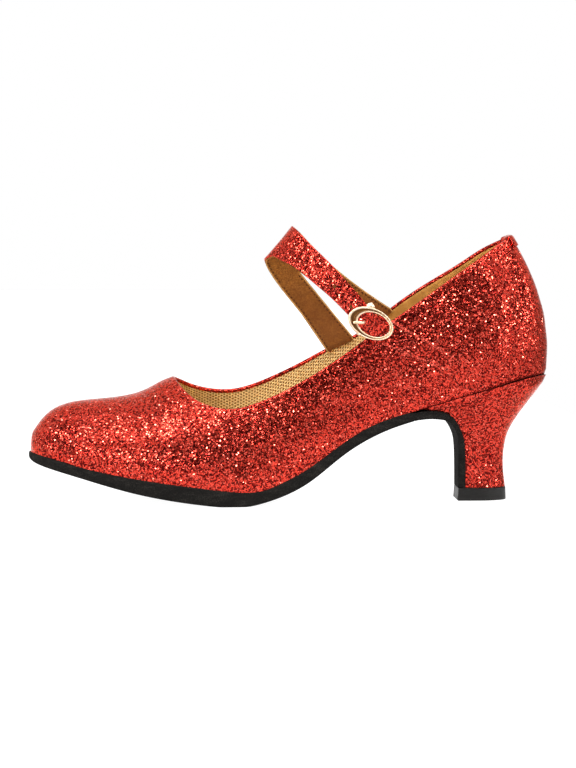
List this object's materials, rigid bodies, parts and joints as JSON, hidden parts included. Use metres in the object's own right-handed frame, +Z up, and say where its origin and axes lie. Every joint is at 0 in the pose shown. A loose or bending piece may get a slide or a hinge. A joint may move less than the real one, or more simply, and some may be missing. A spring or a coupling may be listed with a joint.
{
  "type": "ballroom dance shoe",
  "caption": "Women's left ballroom dance shoe with closed round toe, Y-shaped instep strap, oval buckle, flared heel and suede sole.",
  "frame": {"origin": "on the floor, under the middle of the bounding box", "axes": "+X from the toe to the heel, +Y from the outer side to the inner side of the foot, +Z up"},
  "size_m": [0.2396, 0.0758, 0.1266],
  "materials": {
    "glitter": "red glitter cloth",
    "lining": "golden mesh",
    "suede": "black suede",
    "tip": "semi-gloss black",
    "gold": "polished pale gold"
  },
  "bodies": {
    "root": {"outsole": "suede", "upper": "glitter", "insole": "lining", "heel": "glitter", "heel_tip": "tip", "strap": "glitter", "buckle_frame": "gold", "buckle_prong": "gold", "buckle_tab": "glitter", "back_tab": "glitter"}
  },
  "joints": []
}
